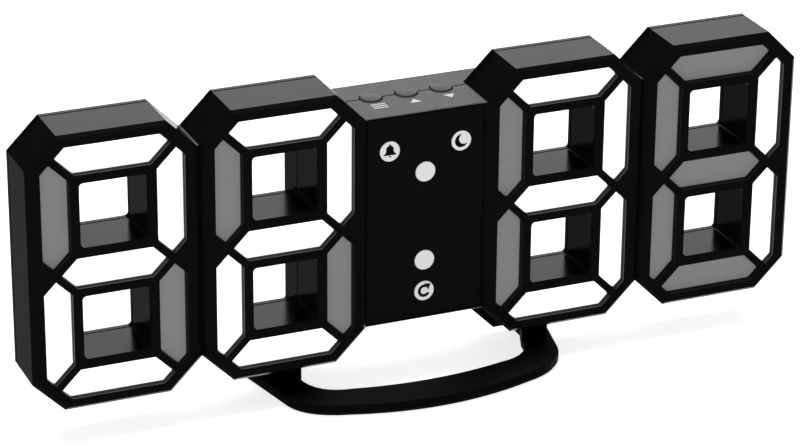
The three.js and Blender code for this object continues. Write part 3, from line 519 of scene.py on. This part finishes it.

# %% [markdown]
# Two places of the case have a finish of their own. The walls of the bar windows are matt, so
# that a lit bar doesn't shine along its frame, and the top of the centre box has a coarser grain
# and a painted sheen: a lighter grey that stands in for the light it catches. Both are picked by
# position, with chains of small sums.

# %% Sums in a material
def chained(material, source, steps):
    """Sends a value through sums, each an operation and the number, or the value, it takes."""
    for operation, other in steps:
        fixed = {"operation": operation} | ({} if hasattr(other, "node") else {1: other})
        linked = {0: source} | ({1: other} if hasattr(other, "node") else {})
        source = add(material, "ShaderNodeMath", fixed, linked).outputs[0]
    return source


def within(material, source, middle, reach):
    """1 where a value lies no further than reach from the middle, else 0."""
    settings = {"operation": "COMPARE", 1: middle, 2: reach}
    return add(material, "ShaderNodeMath", settings, {0: source}).outputs[0]


print("nodes in the case's material before its sums:", len(case_abs.node_tree.nodes))

# %% [markdown]
# The four numerals are folded onto one. |x| folds the left pair onto the right one. Less the
# middle of that pair, and without its sign again, it folds the outer numeral onto the inner one.
# Less half the step between the two, it says how far a point lies from its numeral's middle.

# %% Where the case's finish changes
NUMERALS_AT, HALF_STEP, HOLES_AT = 71.2, 26.2, 17.7
HOLE_RIM, FRAME_HALF_WIDTH, FRAME_HALF_HEIGHT, CORNER_REACH = 10.5, 22.5, 40.3, 56.7
WALLS_DEEP, WALLS_SPAN = 1.05, 0.85
TOP_HALF_WIDTH, NUMERALS_DEEP, TOP_SPAN = 19.5, 18.6, 0.25


def window_walls(material, across, height, y):
    """1 on the walls of the bar windows: outside the holes, inside the outline, near the front."""
    hole = chained(material, height, [
        ("SUBTRACT", HOLES_AT * MM), ("ABSOLUTE", 0.0), ("MAXIMUM", across)])
    narrow = chained(material, across, [("LESS_THAN", FRAME_HALF_WIDTH * MM)])
    corner = chained(material, across, [("ADD", height), ("LESS_THAN", CORNER_REACH * MM)])
    low = chained(material, height, [("LESS_THAN", FRAME_HALF_HEIGHT * MM), ("MULTIPLY", corner)])
    front = within(material, y, FRONT + WALLS_DEEP * MM, WALLS_SPAN * MM)
    return chained(material, hole, [
        ("GREATER_THAN", HOLE_RIM * MM), ("MULTIPLY", narrow), ("MULTIPLY", low), ("MULTIPLY", front)])


def case_places(material):
    """Two masks: 1 on the window walls, and 1 on the top of the centre box, which gets a painted
    sheen.
    """
    place = add(material, "ShaderNodeTexCoord").outputs["Object"]
    x, y, z = add(material, "ShaderNodeSeparateXYZ", (), {"Vector": place}).outputs
    side = chained(material, x, [("ABSOLUTE", 0.0)])
    across = chained(material, side, [
        ("SUBTRACT", NUMERALS_AT * MM), ("ABSOLUTE", 0.0),
        ("SUBTRACT", HALF_STEP * MM), ("ABSOLUTE", 0.0)])
    height = chained(material, z, [("SUBTRACT", MIDDLE), ("ABSOLUTE", 0.0)])
    near_top = within(material, z, MIDDLE + BOX_TOP * MM, TOP_SPAN * MM)
    behind = chained(material, y, [("GREATER_THAN", FRONT + NUMERALS_DEEP * MM)])
    top = chained(material, side, [
        ("LESS_THAN", TOP_HALF_WIDTH * MM), ("MAXIMUM", behind), ("MULTIPLY", near_top)])
    return window_walls(material, across, height, y), top


print("numerals at +-%.1f and +-%.1f mm" % (NUMERALS_AT - HALF_STEP, NUMERALS_AT + HALF_STEP))

# %% [markdown]
# The finish of both places is mixed into the case's shader between its noises and its sockets,
# and the top gets a painted sheen of lighter grey and pits of 0.7 mm on top of the fine grain.

# %% Matt window walls and a grained top with a painted sheen
# The top's lighter grey is a painted sheen: it stands in for the light that the top of the box
# catches.
TOP_PAINTED_SHEEN, TOP_ROUGHNESS, WALL_ROUGHNESS = "#626263", 0.34, 0.9
PIT_WIDTH, PIT_DEPTH = 0.7, 0.16


def finish_case(material):
    """Mixes the finish of both places into the shader of the case, the top's painted sheen among them.
    """
    link, shader = material.node_tree.links.new, material.node_tree.nodes["Principled BSDF"]
    colour, polish, normal = (
        shader.inputs[name].links[0].from_socket for name in ("Base Color", "Roughness", "Normal"))
    walls, top = case_places(material)
    grey = add(material, "ShaderNodeMix", {"data_type": "RGBA", 7: linear(TOP_PAINTED_SHEEN)},
               {"Factor": top, 6: colour})
    duller = add(material, "ShaderNodeMix", {3: TOP_ROUGHNESS}, {"Factor": top, 2: polish})
    matt = add(material, "ShaderNodeMix", {3: WALL_ROUGHNESS}, {"Factor": walls, 2: duller.outputs[0]})
    place = add(material, "ShaderNodeTexCoord").outputs["Object"]
    pits = add(material, "ShaderNodeTexNoise", {"Scale": per_metre(PIT_WIDTH), "Detail": 1.0},
               {"Vector": place})
    depth = chained(material, pits.outputs["Fac"], [("MULTIPLY", top)])
    relief = add(material, "ShaderNodeBump", {"Distance": PIT_DEPTH * MM},
                 {"Height": depth, "Normal": normal})
    link(grey.outputs[2], shader.inputs["Base Color"])
    link(matt.outputs[0], shader.inputs["Roughness"])
    link(relief.outputs["Normal"], shader.inputs["Normal"])


finish_case(case_abs)
print("nodes in the case's material:", len(case_abs.node_tree.nodes))

# %% [markdown]
# The bars are opal acrylic: clear plastic with a fine white powder in it, which spreads the
# light of the small lamps behind it until no lamp can be told from the next. A lit bar is a
# surface that glows; an unlit one is the same sheet in grey, with a faint painted glow that lifts
# it evenly out of the shade of its recess.

# %% Lenses
ACRYLIC = {"IOR": 1.49, "Coat Weight": 0.15, "Coat Roughness": 0.12}
LIT_GLOW, BADGE_GLOW, UNLIT_PAINTED_GLOW = 0.9, 0.1, 0.13


def glowing(strength):
    """Acrylic that gives off white light of this strength."""
    return ACRYLIC | {"Emission Color": linear("#FFFFFF"), "Emission Strength": strength}


lit_acrylic = plastic(
    "acrylic_opal_lit", "#F4F4F2", glowing(LIT_GLOW),
    fleck=("#FFFFFF", 6), gloss=(0.3, 0.4, 8), grain=(0.5, 0.003))
# The unlit bars' glow is painted light: no lamp behind them is on, and it evens out the shade of their
# recess.
unlit_acrylic = plastic(
    "acrylic_opal_unlit_painted_glow", "#5A5A5A", glowing(UNLIT_PAINTED_GLOW),
    fleck=("#5F5F5F", 6), gloss=(0.36, 0.44, 8), grain=(0.5, 0.003))
badge_acrylic = plastic(
    "acrylic_opal_badge", "#DEDEDC", glowing(BADGE_GLOW),
    fleck=("#E4E4E2", 3), gloss=(0.35, 0.45, 4), grain=(0.4, 0.003))
print("lenses made: 3")

# %% [markdown]
# Inside and behind are the materials of any small appliance: solder mask over glass-fibre
# board, white ABS that hands the light on, zinc-plated steel, and two printing inks.

# %% Inner and small materials
METAL = {"Metallic": 1.0}
board_mask = plastic(
    "solder_mask_green", "#0C4026", {"Coat Weight": 0.6, "Coat Roughness": 0.1},
    fleck=("#115233", 0.9), gloss=(0.3, 0.4, 5), grain=(0.8, 0.01))
baffle_abs = plastic(
    "abs_white_moulded", "#E6E6E0", ABS,
    fleck=("#F0F0EC", 10), gloss=(0.4, 0.5, 12), grain=(0.5, 0.006))
zinc_steel = plastic(
    "steel_zinc_plated", "#A8A9A6", METAL,
    fleck=("#C2C3C0", 1.5), gloss=(0.22, 0.36, 2), grain=(0.3, 0.004))
ink_white = plastic(
    "ink_white_printed", "#EEEEEE", {"IOR": 1.5},
    fleck=("#F6F6F6", 1), gloss=(0.45, 0.6, 2), grain=(0.3, 0.002))
ink_black = plastic(
    "ink_black_printed", "#070707", {"IOR": 1.5},
    fleck=("#0C0C0C", 1), gloss=(0.45, 0.6, 2), grain=(0.3, 0.002))
print("inner materials made: 5")

# %% [markdown]
# The record says which slot each solid takes its finish from, so one table of slots dresses the
# solids. The stand keeps its slot too, but its coarser skin is put on after that. The new pieces
# follow by hand, because the printed signs are ink and not the plastic of their slot.

# %% Dress every piece
FINISHES = {
    "case_black": case_abs, "panel_black": panel_abs, "lit_lens": lit_acrylic,
    "unlit_lens": unlit_acrylic, "badge_lens": badge_acrylic, "button_black": button_abs_painted_sheen,
    "switch_black": switch_nylon, "board_green": board_mask, "inner_white": baffle_abs,
    "steel": zinc_steel, "rubber": sole_rubber,
}


def dress(pieces, material):
    """Gives each piece the material as its only one."""
    for piece in pieces:
        piece.data.materials.clear()
        piece.data.materials.append(material)
    return len(pieces)


for part in frame["record"]["subparts"]:
    dress([nodes[part["node"]]], FINISHES[part["material_slot"]])
dress([nodes["stand"]], stand_abs)
made = sum([dress(buttons, button_abs_painted_sheen), dress([arrow], case_abs),
            dress(signs, ink_black), dress(labels, ink_white)])
print("solids dressed:", len(nodes), "new pieces dressed:", made)

# %% [markdown]
# The studio is a wide white table under a large soft light. The table glows by itself, as a
# light table does, so that the clock's shadow stays faint.

# %% Floor
FLOOR_HALF = 4.0


def plain_floor(half, height):
    """A square of one face, in metres."""
    mesh = bpy.data.meshes.new("floor")
    corners = [(-half, -half), (half, -half), (half, half), (-half, half)]
    mesh.from_pydata([(*corner, height) for corner in corners], [], [(0, 1, 2, 3)])
    made = bpy.data.objects.new("floor", mesh)
    bpy.context.scene.collection.objects.link(made)
    return made


floor = plain_floor(FLOOR_HALF, FLOOR)
TABLE = {"Specular IOR Level": 0.1, "Emission Color": linear("#FFFFFF"), "Emission Strength": 0.77}
table_paint = plastic(
    "light_table_white", "#F2F2F2", TABLE,
    fleck=("#F5F5F5", 400), gloss=(0.8, 0.9, 300), grain=(5, 0.01))
dress([floor], table_paint)
floor.visible_glossy = False
print("floor at %.1f mm" % (FLOOR / MM))

# %% [markdown]
# A black clock is drawn almost only by what it reflects. A soft box low behind it stands where
# the top faces mirror it to the camera. The table itself is kept out of the reflections, and the
# world takes its place: brighter low down behind the clock, and more so to the right, dark
# elsewhere. What is matt is lit by the world from all sides, which keeps the shadows faint.

# %% Lights
def soft_box(name, place, aim, width, height, radiance):
    """A rectangular light that faces a point, in metres. Its power is radiance x area x pi."""
    data = bpy.data.lights.new(name, "AREA")
    data.shape, data.size, data.size_y = "RECTANGLE", width, height
    data.energy = radiance * width * height * np.pi
    made = bpy.data.objects.new(name, data)
    made.location = place
    made.rotation_euler = (Vector(aim) - Vector(place)).to_track_quat("-Z", "Y").to_euler()
    bpy.context.scene.collection.objects.link(made)


OVERHEAD_AT, OVERHEAD_AIM = (0.0, 0.45, 2.2), (0.0, 0.3, 0.0)
HEART = Vector((0.0, 0.0, 0.05))
MIRRORED_VIEW, BEHIND_AWAY = Vector((0.356, 0.8435, 0.385)), 1.3
soft_box("overhead", OVERHEAD_AT, OVERHEAD_AIM, width=2.6, height=1.8, radiance=2.4)
soft_box("behind", HEART + MIRRORED_VIEW * BEHIND_AWAY, HEART, width=0.66, height=0.6, radiance=0.9)

# %% [markdown]
# The world is white to the camera. To a mirror it is the product of three ramps: along x it
# grows to the right, it is full below the horizon and gone above it, and it lies behind the
# clock. A matt surface sees the same world, but nowhere darker than an even grey.

# %% World
GLOW_FROM, GLOW_TO = (-0.24, 0.05), (0.42, 1.1)
FULL_BELOW, FULL_BEHIND, DARKEST, MATT_FILL = -0.15, 0.3, 0.02, 0.3


def ramp(value, start, end):
    """Straight from one (place, strength) to another, and level beyond them."""
    settings = {"From Min": start[0], "To Min": start[1], "From Max": end[0], "To Max": end[1]}
    return add(world, "ShaderNodeMapRange", settings, {"Value": value}).outputs[0]


world = bpy.data.worlds.new("studio")
world.use_nodes = True
bpy.context.scene.world = world
direction = add(world, "ShaderNodeTexCoord").outputs["Generated"]
x, y, z = add(world, "ShaderNodeSeparateXYZ", (), {"Vector": direction}).outputs
path = add(world, "ShaderNodeLightPath").outputs
fill = chained(world, path["Is Diffuse Ray"], [
    ("MULTIPLY", MATT_FILL), ("MAXIMUM", path["Is Camera Ray"])])
strength = chained(world, ramp(x, GLOW_FROM, GLOW_TO), [
    ("MULTIPLY", ramp(z, (0.0, 0.0), (FULL_BELOW, 1.0))),
    ("MULTIPLY", ramp(y, (0.0, 0.0), (FULL_BEHIND, 1.0))),
    ("ADD", DARKEST), ("MAXIMUM", fill)])
background = world.node_tree.nodes["Background"]
world.node_tree.links.new(strength, background.inputs["Strength"])
background.inputs["Color"].default_value = linear("#FFFFFF")
print("nodes in the world:", len(world.node_tree.nodes))

# %% [markdown]
# The camera stands where the photograph was taken from: about 23 degrees to the left of the
# front and 24 degrees above it, with a long lens. Its place was worked out from the corners of
# the numerals in the picture, and is written as an eye point and three directions.

# %% The camera
EYE = Vector((-0.359566, -0.832596, 0.451832))
RIGHT = Vector((0.92189339, -0.38735808, 0.00814151))
DOWN = Vector((-0.14973108, -0.37557612, -0.91461641))
FORWARD = Vector((0.35734181, 0.84195980, -0.40424068))
FOCAL_LENGTH, SENSOR_WIDTH, NEAREST = 148.52, 36.0, 0.01

lens = bpy.data.cameras.new("camera")
lens.lens, lens.sensor_width, lens.sensor_fit = FOCAL_LENGTH, SENSOR_WIDTH, "HORIZONTAL"
lens.clip_start = NEAREST
camera = bpy.data.objects.new("camera", lens)
bpy.context.scene.collection.objects.link(camera)
turn = Matrix((RIGHT, -DOWN, -FORWARD)).transposed()
camera.matrix_world = Matrix.Translation(EYE) @ turn.to_4x4()
bpy.context.scene.camera = camera
bpy.context.scene.view_settings.view_transform = "Standard"
print("camera height above the floor: %.0f mm" % ((EYE.z - FLOOR) / MM))
